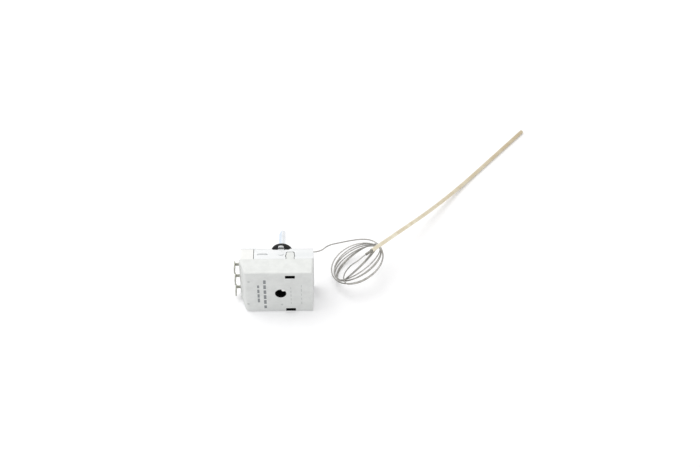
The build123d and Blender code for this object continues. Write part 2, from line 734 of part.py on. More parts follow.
# Sensing bulb: it lies on the table, and its near end is bent up over the coil
bulb_z = bottom + bulb_diameter / 2
bulb_tip = (208.0, 187.5, bulb_z)
bulb_bend = (135.6, 98.1, bulb_z)
bulb_near = (70.9, 4.4, 14.0)
bulb_back = (Vector(*bulb_near) - Vector(*bulb_bend)).normalized()
with BuildPart() as sensing_bulb:
    with BuildLine() as bulb_line:
        FilletPolyline(bulb_tip, bulb_bend, bulb_near, radius=bulb_bend_radius)
    with BuildSketch(Plane(origin=bulb_line.line @ 0, z_dir=bulb_line.line % 0)):
        Circle(bulb_diameter / 2)
    sweep()
    fillet(sensing_bulb.faces().sort_by(Axis.Y)[-1].edges(), bulb_diameter * 0.4)
finish(sensing_bulb, "sensing_bulb")
print("sensing_bulb length", round(bulb_line.wire().length, 1))

# Crimped neck that joins the bulb to the capillary
neck_start = Plane(origin=bulb_near, z_dir=bulb_back)
with BuildPart() as bulb_neck:
    with BuildSketch(neck_start):
        Circle(bulb_diameter / 2)
    with BuildSketch(neck_start.offset(neck_swage / 2)):
        Circle(neck_diameter / 2)
    loft()
    with BuildSketch(neck_start.offset(neck_swage / 2)):
        Circle(neck_diameter / 2)
    extrude(amount=neck_length - neck_swage / 2)
finish(bulb_neck, "bulb_neck")

# Free capillary from the bulb's neck down into the front of the coil
neck_end = Vector(*bulb_near) + bulb_back * neck_length
neck_run = neck_end + bulb_back * 5.0
tail_points = [
    tuple(neck_end),
    tuple(neck_run),
    (59.9, -9.0, 15.9),
    (55.4, -8.6, 11.8),
    (52.6, -6.6, 6.0),
    (50.4, -5.4, -0.5),
    (49.3, -6.8, -6.5),
]
capillary_tail = tube(tail_points, "capillary_tail")
finish(capillary_tail, "capillary_tail")
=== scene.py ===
"""Looks of a capillary temperature control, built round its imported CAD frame.

The case lies on its long side on a pale table, seen from behind and above, with its
shaft pointing away and its coiled capillary and long sensing bulb to the right.
"""

import math

import bmesh
import bpy
from mathutils import Matrix, Vector


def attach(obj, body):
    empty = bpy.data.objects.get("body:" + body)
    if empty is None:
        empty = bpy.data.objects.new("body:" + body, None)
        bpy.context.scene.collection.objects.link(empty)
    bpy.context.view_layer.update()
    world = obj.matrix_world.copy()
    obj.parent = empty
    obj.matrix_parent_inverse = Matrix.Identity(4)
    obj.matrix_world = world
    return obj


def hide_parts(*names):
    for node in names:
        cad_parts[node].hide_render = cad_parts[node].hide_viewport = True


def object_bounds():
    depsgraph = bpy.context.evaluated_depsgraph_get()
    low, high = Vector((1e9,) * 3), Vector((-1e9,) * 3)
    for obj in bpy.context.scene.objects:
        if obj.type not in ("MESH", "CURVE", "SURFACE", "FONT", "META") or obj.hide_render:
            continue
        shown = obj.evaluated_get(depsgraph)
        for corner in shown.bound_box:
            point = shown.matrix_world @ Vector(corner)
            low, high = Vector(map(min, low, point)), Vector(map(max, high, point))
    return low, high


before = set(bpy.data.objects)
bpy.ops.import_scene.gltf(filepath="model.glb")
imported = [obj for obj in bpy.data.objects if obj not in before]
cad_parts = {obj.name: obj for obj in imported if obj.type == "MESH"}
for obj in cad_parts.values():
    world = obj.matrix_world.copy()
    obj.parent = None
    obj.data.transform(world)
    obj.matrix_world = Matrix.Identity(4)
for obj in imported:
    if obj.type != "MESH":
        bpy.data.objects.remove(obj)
cad_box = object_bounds()
shown = bpy.context.scene
MM = 0.001


# ---------------------------------------------------------------- Camera
# The photograph's viewing angle: level with the horizon, looking down 43.5 degrees
# along +Y, from well over a metre away.
LENS_PLACE = (43.6, -863.6, 856.5)
LENS_AZIMUTH, LENS_DOWN = 0.684, 43.505
SENSOR_WIDTH = 36.0
FOCAL_PIXELS, FRAME_PIXELS = 1547.6, 700


def place_camera():
    """A camera at the place and with the focal length fitted to the case's corners."""
    azimuth, elevation = math.radians(LENS_AZIMUTH), math.radians(LENS_DOWN)
    lens_place = Vector(LENS_PLACE) * MM
    ahead = Vector((
        math.sin(azimuth) * math.cos(elevation),
        math.cos(azimuth) * math.cos(elevation),
        -math.sin(elevation),
    ))
    right = Vector((math.cos(azimuth), -math.sin(azimuth), 0))
    up = right.cross(ahead)
    data = bpy.data.cameras.new("photo_camera")
    data.sensor_width = SENSOR_WIDTH
    data.lens = SENSOR_WIDTH * FOCAL_PIXELS / FRAME_PIXELS
    data.clip_start, data.clip_end = 0.05, 20
    camera = bpy.data.objects.new("photo_camera", data)
    turned = Matrix((right, up, -ahead)).transposed().to_4x4()
    camera.matrix_world = Matrix.Translation(lens_place) @ turned
    shown.collection.objects.link(camera)
    shown.camera = camera


place_camera()


# ---------------------------------------------------------------- Table, lamps and backdrop
# A matt white table under one very broad overhead lamp and an even white surround.
# The lamp hangs beyond the object and to its left, so the back stays in soft shade.
def linear(code):
    """An sRGB hex colour as linear values for a shader's socket."""
    parts = [int(code[i:i + 2], 16) / 255 for i in (1, 3, 5)]
    return tuple(p / 12.92 if p <= 0.04045 else ((p + 0.055) / 1.055) ** 2.4 for p in parts) + (1.0,)


def add(tree, kind, sockets=None, **settings):
    """Adds one node, with its settings, and with a value or a link for each named socket."""
    node = tree.nodes.new(kind)
    for name, value in settings.items():
        setattr(node, name, value)
    for name, value in (sockets or {}).items():
        if isinstance(value, bpy.types.NodeSocket):
            tree.links.new(value, node.inputs[name])
        else:
            node.inputs[name].default_value = value
    return node


def empty_material(name):
    """A named node material with nothing in it."""
    material = bpy.data.materials.new(name)
    material.use_nodes = True
    material.node_tree.nodes.clear()
    return material


TABLE_HALF = 6.0
# The table's own glow grows from TABLE_LIFT to FAR_LIFT between these distances in metres
NEAR_REACH, FAR_REACH = 0.35, 1.6
TABLE_LIFT, FAR_LIFT = 0.17, 0.42
SURROUND_LEVEL = 0.65
LAMP_WIDTH, LAMP_WATTS = 1.6, 12.2
LAMP_AIM, LAMP_OFFSET = (0.05, 0.03, 0), (-0.50, 0.28, 1.42)


def make_table():
    """The table, shown near white to the camera and to reflections, more so far from the object."""
    table_z = cad_box[0][2]
    material = empty_material("matt_white_table")
    tree = material.node_tree
    body = add(tree, "ShaderNodeBsdfDiffuse", {"Color": linear("#F6F6F8")})
    path = add(tree, "ShaderNodeLightPath")
    seen = add(tree, "ShaderNodeMath", {0: path.outputs["Is Camera Ray"], 1: path.outputs["Is Glossy Ray"]},
               operation="MAXIMUM")
    place = add(tree, "ShaderNodeTexCoord").outputs["Object"]
    away = add(tree, "ShaderNodeVectorMath", {0: place}, operation="LENGTH")
    share = add(tree, "ShaderNodeMapRange",
                {"Value": away.outputs["Value"], "From Min": NEAR_REACH, "From Max": FAR_REACH,
                 "To Min": TABLE_LIFT, "To Max": FAR_LIFT})
    lift = add(tree, "ShaderNodeMath", {0: seen.outputs[0], 1: share.outputs[0]}, operation="MULTIPLY")
    glow = add(tree, "ShaderNodeEmission", {"Color": linear("#FDFDFF"), "Strength": lift.outputs[0]})
    both = add(tree, "ShaderNodeAddShader", {0: body.outputs[0], 1: glow.outputs[0]})
    output = add(tree, "ShaderNodeOutputMaterial")
    tree.links.new(both.outputs[0], output.inputs["Surface"])
    mesh = bpy.data.meshes.new("table")
    corners = [(x * TABLE_HALF, y * TABLE_HALF, table_z) for x, y in ((-1, -1), (1, -1), (1, 1), (-1, 1))]
    mesh.from_pydata(corners, [], [(0, 1, 2, 3)])
    mesh.materials.append(material)
    table = bpy.data.objects.new("table", mesh)
    shown.collection.objects.link(table)


def light_room():
    """An even white surround, with one broad soft lamp overhead."""
    world = bpy.data.worlds.new("white_surround")
    shown.world = world
    world.use_nodes = True
    tree = world.node_tree
    tree.nodes.clear()
    path = add(tree, "ShaderNodeLightPath")
    seen = add(tree, "ShaderNodeMath", {0: path.outputs["Is Camera Ray"], 1: path.outputs["Is Glossy Ray"]},
               operation="MAXIMUM")
    through = add(tree, "ShaderNodeMath", {0: seen.outputs[0], 1: path.outputs["Is Transmission Ray"]},
                  operation="MAXIMUM")
    surround = add(tree, "ShaderNodeBackground", {"Color": linear("#FDFDFB"), "Strength": SURROUND_LEVEL})
    backdrop = add(tree, "ShaderNodeBackground", {"Color": (1, 1, 1, 1), "Strength": 1.0})
    mixed = add(tree, "ShaderNodeMixShader",
                {0: through.outputs[0], 1: surround.outputs[0], 2: backdrop.outputs[0]})
    output = add(tree, "ShaderNodeOutputWorld")
    tree.links.new(mixed.outputs[0], output.inputs["Surface"])

    lamp = bpy.data.lights.new("overhead_softbox", "AREA")
    lamp.shape = "DISK"
    lamp.size = LAMP_WIDTH
    lamp.energy = LAMP_WATTS
    lamp.color = (1.0, 0.995, 0.985)
    lamp_object = bpy.data.objects.new("overhead_softbox", lamp)
    aim = Vector(LAMP_AIM)
    lamp_object.location = aim + Vector(LAMP_OFFSET)
    lamp_object.rotation_euler = (lamp_object.location - aim).to_track_quat("Z", "Y").to_euler()
    shown.collection.objects.link(lamp_object)


make_table()
light_room()
shown.view_settings.view_transform = "Standard"


# ---------------------------------------------------------------- Mounting bracket
# Folded from 1 mm steel strip, blanked and tapped M4, then zinc plated and clear
# passivated: a pale grey metal with soft rolling lines and a painted highlight along its edges.
def finish(name, colours, patch, grain, rough, bump, metallic=0.0, drawn=(1, 1, 1), turn=0.0, rings=False,
           **shader):
    """A material mottled between two colours, with a grain in its gloss and its surface.

    patch and grain are the widths in mm of the mottling and of the grain, and bump the
    grain's height in mm. drawn lengthens both along an axis, as rolling or drawing does,
    turned by turn degrees about Z, and rings wraps them round the shaft's axis, as a
    lathe does. Other names are values for the shader's own sockets. Real grain is finer
    than the 0.1 to 0.45 mm given here. Even that is too fine for the photograph's scale,
    where a pixel is 0.8 mm, and is meant for closer views.
    """
    material = empty_material(name)
    tree = material.node_tree
    place = add(tree, "ShaderNodeTexCoord").outputs["Object"]
    if rings:
        flat = add(tree, "ShaderNodeVectorMath", {0: place, 1: (1, 0, 1)}, operation="MULTIPLY")
        out = add(tree, "ShaderNodeVectorMath", {0: flat.outputs[0]}, operation="LENGTH")
        split = add(tree, "ShaderNodeSeparateXYZ", {0: place})
        place = add(tree, "ShaderNodeCombineXYZ",
                    {"X": out.outputs["Value"], "Y": split.outputs["Y"]}).outputs[0]
    laid = add(tree, "ShaderNodeMapping",
               {"Vector": place, "Rotation": (0, 0, math.radians(-turn)), "Scale": tuple(1 / d for d in drawn)})
    mottle = add(tree, "ShaderNodeTexNoise",
                 {"Vector": laid.outputs[0], "Scale": 1 / (patch * MM), "Detail": 3.0, "Roughness": 0.55})
    fine = add(tree, "ShaderNodeTexNoise",
               {"Vector": laid.outputs[0], "Scale": 1 / (grain * MM), "Detail": 2.0, "Roughness": 0.6})
    share = add(tree, "ShaderNodeMapRange", {"Value": mottle.outputs[0], "From Min": 0.35, "From Max": 0.65})
    colour = add(tree, "ShaderNodeMix", {0: share.outputs[0], 6: linear(colours[0]), 7: linear(colours[1])},
                 data_type="RGBA")
    gloss = add(tree, "ShaderNodeMapRange",
                {"Value": fine.outputs[0], "From Min": 0.3, "From Max": 0.7,
                 "To Min": rough[0], "To Max": rough[1]})
    relief = add(tree, "ShaderNodeBump", {"Height": fine.outputs[0], "Distance": bump * MM})
    body = add(tree, "ShaderNodeBsdfPrincipled",
               {"Base Color": colour.outputs[2], "Roughness": gloss.outputs[0], "Normal": relief.outputs[0],
                "Metallic": metallic, **{key.replace("_", " "): value for key, value in shader.items()}},
               name="surface")
    output = add(tree, "ShaderNodeOutputMaterial")
    tree.links.new(body.outputs[0], output.inputs["Surface"])
    return material


def along(material, direction, start, end):
    """A factor that runs from 0 to 1 along a direction, between two places in mm."""
    tree = material.node_tree
    place = add(tree, "ShaderNodeTexCoord").outputs["Object"]
    distance = add(tree, "ShaderNodeVectorMath", {0: place, 1: direction}, operation="DOT_PRODUCT")
    ramp = add(tree, "ShaderNodeMapRange",
               {"Value": distance.outputs["Value"], "From Min": start * MM, "From Max": end * MM})
    return ramp.outputs[0]


def lay_over(material, factor, code, most=1.0):
    """Mixes a further colour over a material's own, by a factor from its tree."""
    tree = material.node_tree
    body = tree.nodes["surface"]
    under = body.inputs["Base Color"].links[0].from_socket
    share = add(tree, "ShaderNodeMath", {0: factor, 1: most}, operation="MULTIPLY")
    mixed = add(tree, "ShaderNodeMix", {0: share.outputs[0], 6: under, 7: linear(code)}, data_type="RGBA")
    tree.links.new(mixed.outputs[2], body.inputs["Base Color"])


def tint_edges(material, code, radius, most=0.6):
    """Lays a colour along the edges, lighter or darker than the piece."""
    tree = material.node_tree
    rounded = add(tree, "ShaderNodeBevel", {"Radius": radius * MM}, samples=4)
    flat = add(tree, "ShaderNodeNewGeometry")
    same = add(tree, "ShaderNodeVectorMath", {0: rounded.outputs[0], 1: flat.outputs["Normal"]},
               operation="DOT_PRODUCT")
    begins, complete = 0.995, 0.80
    edge = add(tree, "ShaderNodeMapRange",
               {"Value": same.outputs["Value"], "From Min": begins, "From Max": complete})
    lay_over(material, edge.outputs[0], code, most)


def dress(material, *nodes):
    """Puts one material on the named CAD pieces."""
    for node in nodes:
        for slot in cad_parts[node].material_slots:
            slot.material = material


def new_tree(name, **inputs):
    """A Geometry Nodes tree with named inputs, and its input node."""
    tree = bpy.data.node_groups.new(name, "GeometryNodeTree")
    tree.interface.new_socket("Geometry", in_out="INPUT", socket_type="NodeSocketGeometry")
    for title, kind in inputs.items():
        tree.interface.new_socket(title, in_out="INPUT", socket_type="NodeSocket" + kind)
    tree.interface.new_socket("Material", in_out="INPUT", socket_type="NodeSocketMaterial")
    tree.interface.new_socket("Geometry", in_out="OUTPUT", socket_type="NodeSocketGeometry")
    return tree, add(tree, "NodeGroupInput").outputs


def end_tree(tree, inputs, geometry):
    """Ends a tree in real mesh with its material set."""
    real = add(tree, "GeometryNodeRealizeInstances", {"Geometry": geometry})
    coated = add(tree, "GeometryNodeSetMaterial",
                 {"Geometry": real.outputs[0], "Material": inputs["Material"]})
    add(tree, "NodeGroupOutput", {"Geometry": coated.outputs[0]})


def set_on(name, mesh, body):
    """A finished mesh as a piece of the scene, which rides on a body."""
    piece = bpy.data.objects.new(name, mesh)
    shown.collection.objects.link(piece)
    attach(piece, body)
    return piece


def grow(name, tree, body, slot, places=(), **values):
    """Grows a piece from a tree, as a plain mesh that rides on a body."""
    seed = bpy.data.meshes.new(name + "_places")
    seed.from_pydata([tuple(c * MM for c in place) for place in places], [], [])
    holder = bpy.data.objects.new(name + "_holder", seed)
    shown.collection.objects.link(holder)
    modifier = holder.modifiers.new("shape", "NODES")
    modifier.node_group = tree
    for socket in tree.interface.items_tree:
        if socket.in_out == "INPUT" and socket.name in values:
            modifier[socket.identifier] = values[socket.name]
    mesh = bpy.data.meshes.new_from_object(holder.evaluated_get(bpy.context.evaluated_depsgraph_get()))
    holder.modifiers.remove(modifier)
    bpy.data.objects.remove(holder)
    shape = bmesh.new()
    shape.from_mesh(mesh)
    bmesh.ops.recalc_face_normals(shape, faces=shape.faces)
    shape.to_mesh(mesh)
    shape.free()
    mesh.name = name
    return set_on(name, mesh, body)


def thread_tree():
    """A screw thread's ridge: a three-sided bar wound along the shaft's direction."""
    tree, inputs = new_tree("screw_thread", Radius="Float", Height="Float", Turns="Float", Ridge="Float",
                            Place="Vector")
    coil = add(tree, "GeometryNodeCurveSpiral",
               {"Resolution": 32, "Rotations": inputs["Turns"], "Start Radius": inputs["Radius"],
                "End Radius": inputs["Radius"], "Height": inputs["Height"]})
    ridge = add(tree, "GeometryNodeCurvePrimitiveCircle", {"Resolution": 3, "Radius": inputs["Ridge"]})
    bar = add(tree, "GeometryNodeCurveToMesh",
              {"Curve": coil.outputs[0], "Profile Curve": ridge.outputs[0], "Fill Caps": True})
    laid = add(tree, "GeometryNodeTransform", {"Geometry": bar.outputs[0], "Translation": inputs["Place"],
                                               "Rotation": (math.pi / 2, 0, 0)})
    end_tree(tree, inputs, laid.outputs[0])
    return tree


SCREW_HOLE_Z = 14.0
SCREW_HOLE_RADIUS = 2.0
SHEET = 1.0
M4_PITCH, M4_RIDGE = 0.7, 0.26
# The share of the sheet that the thread runs through, and how far behind its face it begins
THREAD_SHARE, THREAD_SET_IN = 0.9, 0.05
# The share of a flat piece's least size that its broken edges take
BROKEN_EDGE = 0.2

zinc_plate = finish("zinc_plated_sheet", ("#DDDEDF", "#D4D6D7"), 7.0, 0.35, (0.40, 0.58), 0.004, 0.8,
                    drawn=(6, 1, 1))
# A painted highlight: the edges are drawn lighter
tint_edges(zinc_plate, "#F4F6F7", 0.25)
dress(zinc_plate, "mounting_bracket", "tube_clip", "carrier_plate")


def plate_piece(name, low, high, material, body):
    """A flat rectangular piece with slightly broken edges, between two corners in mm."""
    shape = bmesh.new()
    centre = (Vector(low) + Vector(high)) / 2 * MM
    size = (Vector(high) - Vector(low)) * MM
    bmesh.ops.create_cube(shape, size=1.0, matrix=Matrix.Translation(centre) @ Matrix.Diagonal((*size, 1.0)))
    bmesh.ops.bevel(shape, geom=shape.edges, offset=min(size) * BROKEN_EDGE, segments=2, affect="EDGES",
                    profile=0.5)
    mesh = bpy.data.meshes.new(name)
    shape.to_mesh(mesh)
    shape.free()
    mesh.materials.append(material)
    set_on(name, mesh, body)


# The slot in the top flange looks blind in the photograph, so it has a floor of sheet
SLOT_CENTRE, SLOT_SIZE, SLOT_FLOOR = (-13.8, -7.4), (9.4, 3.2), (21.05, 21.4)
slot_low = (SLOT_CENTRE[0] - SLOT_SIZE[0] / 2, SLOT_CENTRE[1] - SLOT_SIZE[1] / 2, SLOT_FLOOR[0])
slot_high = (SLOT_CENTRE[0] + SLOT_SIZE[0] / 2, SLOT_CENTRE[1] + SLOT_SIZE[1] / 2, SLOT_FLOOR[1])
plate_piece("flange_slot_floor", slot_low, slot_high, zinc_plate, "case")
thread = thread_tree()
for hole, side in (("upper", 1), ("lower", -1)):
    grow("tapped_thread_" + hole, thread, "case", "zinc_sheet", Radius=SCREW_HOLE_RADIUS * MM,
         Height=SHEET * THREAD_SHARE * MM, Turns=SHEET * THREAD_SHARE / M4_PITCH, Ridge=M4_RIDGE * MM,
         Place=(0, -THREAD_SET_IN * MM, side * SCREW_HOLE_Z * MM), Material=zinc_plate)


# ---------------------------------------------------------------- Bush, shaft and travel stop
# A turned brass bush, staked into the plate by twelve punch marks, carries a ground
# 6 mm steel shaft with a milled flat. The stop and the clip are oxidised steel.
BUSH_STAKES = 12
STAKE_CIRCLE = 5.2
FLAT_TURN = math.radians(155)
FLAT_TOWARDS = (math.cos(FLAT_TURN), 0, math.sin(FLAT_TURN))
# The flat lies 1.6 mm from the axis. Its painted blue reflection begins and is complete just short of that
FLAT_REFLECTION = (1.45, 1.58)
# How deep a mark's foot is sunk into the face that it stands on
SUNK = 0.02


def mark_tree():
    """Low round marks at the given places, with sloping sides, that face backwards or forwards."""
    tree, inputs = new_tree("round_marks", Radius="Float", Rise="Float", Slope="Float", Sides="Int",
                            Facing="Vector")
    top = add(tree, "ShaderNodeMath", {0: inputs["Radius"], 1: inputs["Slope"]}, operation="MULTIPLY")
    mark = add(tree, "GeometryNodeMeshCone", {"Vertices": inputs["Sides"], "Radius Top": top.outputs[0],
                                              "Radius Bottom": inputs["Radius"], "Depth": inputs["Rise"]})
    turned = add(tree, "GeometryNodeTransform", {"Geometry": mark.outputs[0], "Rotation": inputs["Facing"]})
    placed = add(tree, "GeometryNodeInstanceOnPoints",
                 {"Points": inputs["Geometry"], "Instance": turned.outputs[0]})
    end_tree(tree, inputs, placed.outputs[0])
    return tree


TO_BACK = (math.pi / 2, 0, 0)
TO_FRONT = (-math.pi / 2, 0, 0)

# Turned brass is warm and bright, with rings left by the lathe tool
brass = finish("turned_brass", ("#D9BE7C", "#C9A962"), 3.0, 0.16, (0.22, 0.40), 0.003, 1.0, rings=True)
dress(brass, "spindle_bush", "setting_nut", "strip_rivets")
marks = mark_tree()
stake_angles = [2 * math.pi * i / BUSH_STAKES for i in range(BUSH_STAKES)]
grow("bush_stakes", marks, "case", "zinc_sheet",
     places=[(STAKE_CIRCLE * math.cos(a), -SUNK, STAKE_CIRCLE * math.sin(a)) for a in stake_angles],
     Radius=0.45 * MM, Rise=0.18 * MM, Slope=0.35, Sides=10, Facing=TO_FRONT, Material=zinc_plate)

# Ground steel is bright and satin, with fine rings. Its milled flat has a painted blue reflection
ground_steel = finish("ground_shaft_steel", ("#EEF0F2", "#E1E4E7"), 4.0, 0.12, (0.20, 0.34), 0.002, 1.0,
                      rings=True)
lay_over(ground_steel, along(ground_steel, FLAT_TOWARDS, *FLAT_REFLECTION), "#C9D9EA", most=0.7)
dress(ground_steel, "spindle", "stop_pin", "guide_pins")
# Black oxide is dark and satin, and greyer along its edges
black_oxide = finish("black_oxide_steel", ("#3A3B3D", "#2C2D30"), 2.5, 0.2, (0.30, 0.48), 0.003, 0.9,
                     rings=True)
tint_edges(black_oxide, "#8A8B8E", 0.12, most=0.5)
dress(black_oxide, "stop_sector", "retaining_ring")


# ---------------------------------------------------------------- Shaft seal
# A moulded nitrile rubber ring that slides on the shaft and seals the panel's hole:
# near black and dull, with a fine grain in rings and a painted grey sheen on its edges.
nitrile = finish("nitrile_rubber", ("#1E1E1F", "#2A2A2B"), 2.2, 0.3, (0.55, 0.75), 0.012, rings=True,
                 Specular_IOR_Level=0.35)
# Painted sheen: the edges are drawn greyer
tint_edges(nitrile, "#505052", 0.3, most=0.5)
dress(nitrile, "shaft_seal")


# ---------------------------------------------------------------- Rear cover
# Compression-moulded glass-filled polyester, light grey, whose short fibres show as
# a faint mottle. The back has three ejector marks, two low ribs, and bare ink dashes.
COVER_BACK = -28.0
# The painted shade in the cover's openings
SHADE_BLACK = "#0B0B0C"
EJECTOR_MARKS = ((-24.2, 13.0), (-25.3, -11.3), (0.7, -12.2))
# Each row: x, its two ends in z, dash count, dash thickness and seed
PRINT_ROWS = ((-17.1, 7.6, -7.4, 4, 1.6, 3), (-12.1, 12.6, -14.6, 6, 2.0, 8))
OPENING_RADIUS = 4.45
CORE_SLOT_X, CORE_SLOT_Z, CORE_SLOT_HALF = 7.6, 17.8, (3.85, 1.55)
# The openings' walls take the painted shade from this far in from the back face
WALL_FROM = 0.03
# Each rib: x and its two ends in z
RIBS = ((7.95, 5.8, -10.4), (16.1, 7.9, -10.5))
RIB_BARS, RIB_SIZE = 5, (0.6, 0.24, 2.9)
# The least share of its full length that a bar or a dash may have
SHORTEST = 0.6
LACQUER_PLACE, LACQUER_HALF = (2.3, -27.55, 3.4), (1.75, 0.8, 1.15)


def row_tree():
    """A straight row of low bars, each with a random length of its own."""
    tree, inputs = new_tree("bar_row", Start="Vector", End="Vector", Count="Int", Size="Vector",
                            Shortest="Vector", Seed="Int")
    row = add(tree, "GeometryNodeMeshLine", {"Count": inputs["Count"], "Start Location": inputs["Start"],
                                             "Offset": inputs["End"]}, mode="END_POINTS")
    bar = add(tree, "GeometryNodeMeshCube", {"Size": inputs["Size"]})
    length = add(tree, "FunctionNodeRandomValue",
                 {"Min": inputs["Shortest"], "Max": (1, 1, 1), "Seed": inputs["Seed"]},
                 data_type="FLOAT_VECTOR")
    placed = add(tree, "GeometryNodeInstanceOnPoints",
                 {"Points": row.outputs[0], "Instance": bar.outputs[0], "Scale": length.outputs[0]})
    end_tree(tree, inputs, placed.outputs[0])
    return tree


def grow_row(name, material, x, ends, count, size, seed):
    """One row of bars on the cover's back, along Z."""
    grow(name, row, "case", "cover_moulding", Start=(x * MM, COVER_BACK * MM, ends[0] * MM), Count=count,
         End=(x * MM, COVER_BACK * MM, ends[1] * MM), Size=tuple(s * MM for s in size),
         Shortest=(1, 1, SHORTEST), Seed=seed, Material=material)


def within(material, x_mid, x_half, z_mid, z_half, round_off=False):
    """A factor of 1 inside a rectangle or a circle seen from behind, in front of the back face."""
    tree = material.node_tree
    place = add(tree, "ShaderNodeSeparateXYZ", {0: add(tree, "ShaderNodeTexCoord").outputs["Object"]})
    shares = []
    for axis, middle, half in (("X", x_mid, x_half), ("Z", z_mid, z_half)):
        off = add(tree, "ShaderNodeMath", {0: place.outputs[axis], 1: middle * MM}, operation="SUBTRACT")
        apart = add(tree, "ShaderNodeMath", {0: off.outputs[0]}, operation="ABSOLUTE")
        share = add(tree, "ShaderNodeMath", {0: apart.outputs[0], 1: half * MM}, operation="DIVIDE")
        shares.append(share.outputs[0])
    if round_off:
        squares = [add(tree, "ShaderNodeMath", {0: share, 1: 2.0}, operation="POWER") for share in shares]
        reach = add(tree, "ShaderNodeMath", {0: squares[0].outputs[0], 1: squares[1].outputs[0]},
                    operation="ADD")
    else:
        reach = add(tree, "ShaderNodeMath", {0: shares[0], 1: shares[1]}, operation="MAXIMUM")
    inside = add(tree, "ShaderNodeMath", {0: reach.outputs[0], 1: 1.0}, operation="LESS_THAN")
    deep = add(tree, "ShaderNodeMath", {0: place.outputs["Y"], 1: (COVER_BACK + WALL_FROM) * MM},
               operation="GREATER_THAN")
    both = add(tree, "ShaderNodeMath", {0: inside.outputs[0], 1: deep.outputs[0]}, operation="MULTIPLY")
    return both.outputs[0]


polyester = finish("moulded_glass_polyester", ("#EDEFEE", "#E6E8E7"), 5.0, 0.45, (0.50, 0.66), 0.012,
                   Specular_IOR_Level=0.4)
# A painted highlight: the edges are drawn lighter
tint_edges(polyester, "#FAFBFB", 0.4)
# Painted shade: the walls of the openings are coloured as dark as the inside, as the photograph shows them
lay_over(polyester, within(polyester, 0, OPENING_RADIUS, 0, OPENING_RADIUS, round_off=True), SHADE_BLACK)
for side in (1, -1):
    core_slot_shade = within(polyester, CORE_SLOT_X, CORE_SLOT_HALF[0], side * CORE_SLOT_Z, CORE_SLOT_HALF[1])
    lay_over(polyester, core_slot_shade, SHADE_BLACK)
dress(polyester, "rear_cover")


UNEVEN, WAVE_X, WAVE_START, WAVE_Z = 0.10, 3.1, 1.3, 2.7


def dab(name, centre, radii, material, body):
    """A small uneven drop of something that was brushed on, as a closed smooth mesh."""
    shape = bmesh.new()
    bmesh.ops.create_icosphere(shape, subdivisions=3, radius=1.0)
    for vert in shape.verts:
        swell = 1 + UNEVEN * math.sin(WAVE_X * vert.co.x + WAVE_START) * math.cos(WAVE_Z * vert.co.z)
        vert.co = Vector(centre) * MM + Vector([c * r * swell * MM for c, r in zip(vert.co, radii)])
    for face in shape.faces:
        face.smooth = True
    mesh = bpy.data.meshes.new(name)
    shape.to_mesh(mesh)
    shape.free()
    mesh.materials.append(material)
    set_on(name, mesh, body)


# The white spot on the round opening's rim is taken as locking lacquer: smooth and glossy
lacquer = finish("white_locking_lacquer", ("#FFFFFE", "#F9F9F6"), 0.8, 0.2, (0.18, 0.34), 0.01)
dab("lacquer_dab", LACQUER_PLACE, LACQUER_HALF, lacquer, "case")
# Marks from the mould are the same plastic, drawn darker as painted shade so that they show
mould_mark_shade = finish("moulding_witness_shade", ("#D3D6D5", "#CBCECD"), 1.0, 0.3, (0.5, 0.66), 0.01)
grow("ejector_marks", marks, "case", "cover_moulding",
     places=[(x, COVER_BACK + SUNK, z) for x, z in EJECTOR_MARKS],
     Radius=1.0 * MM, Rise=0.2 * MM, Slope=0.8, Sides=32, Facing=TO_BACK, Material=mould_mark_shade)
row = row_tree()
for i, (x, high, low) in enumerate(RIBS):
    grow_row(f"moulding_rib_{i + 1}", mould_mark_shade, x, (high, low), RIB_BARS, RIB_SIZE, i)

# Thin grey ink, dull and faintly mottled. A dash fills this share of its place in the row
INK_HEIGHT, INK_SHARE = 0.06, 0.86
dull_ink = finish("dull_grey_ink", ("#868A8D", "#9CA0A2"), 0.9, 0.15, (0.55, 0.75), 0.004)
for i, (x, high, low, count, thickness, seed) in enumerate(PRINT_ROWS):
    longest = abs(high - low) / (count - 1) * INK_SHARE
    grow_row(f"ink_dashes_{i + 1}", dull_ink, x, (high, low), count, (thickness, INK_HEIGHT, longest), seed)


# ---------------------------------------------------------------- Switch base and terminals
# The base is white where the terminals stand. Behind the mechanism it is painted near black
# as shade, as the photograph shows only black in the opening. The terminals are nickel plated.

# The painted shade begins and is complete this far behind the plate's front face
SHADE_BEHIND = (12.3, 12.4)
# White thermoset is satin, and brighter than the cover
white_moulding = finish("white_thermoset", ("#F9F9F8", "#F4F4F3"), 4.0, 0.4, (0.42, 0.58), 0.008)
# A painted highlight: the edges are drawn lighter
tint_edges(white_moulding, "#FCFCFB", 0.3)
# Painted shade: near black behind the mechanism
lay_over(white_moulding, along(white_moulding, (0, -1, 0), *SHADE_BEHIND), "#111112")
dress(white_moulding, "switch_base")

# Dulled nickel plate has a faint olive cast, and is darker along its edges
olive_nickel = finish("dulled_nickel_plate", ("#B6B6AD", "#9C9D94"), 2.0, 0.2, (0.34, 0.52), 0.004, 0.9,
                      drawn=(4, 1, 1))
tint_edges(olive_nickel, "#6B6C60", 0.15)
dress(olive_nickel, "terminal_front", "terminal_common", "terminal_rear")


# ---------------------------------------------------------------- Switch and calibration
# A thin bronze blade carries its silver contact between two fixed ones. The bridge
# behind it and its screw are painted near black as shade, as only black shows in the opening.
CALIBRATION_RADIUS, CALIBRATION_RIDGE = 0.96, 0.12
CALIBRATION_LENGTH, CALIBRATION_TURNS, CALIBRATION_BACK = 0.52, 1.1, -18.74

# Rolled bronze is warm brown and glossy, with long fine lines along the strip
spring_bronze = finish("rolled_spring_bronze", ("#D2A679", "#BE8F5F"), 3.0, 0.15, (0.24, 0.40), 0.003, 1.0,
                       drawn=(6, 1, 1))
dress(spring_bronze, "contact_blade")
# Fine silver is pale and a little warm, with a soft gloss
contact_silver = finish("fine_silver", ("#EDEBE6", "#D5D2CB"), 1.0, 0.1, (0.22, 0.40), 0.002, 1.0)
dress(contact_silver, "moving_contact", "fixed_contact_front", "fixed_contact_rear")
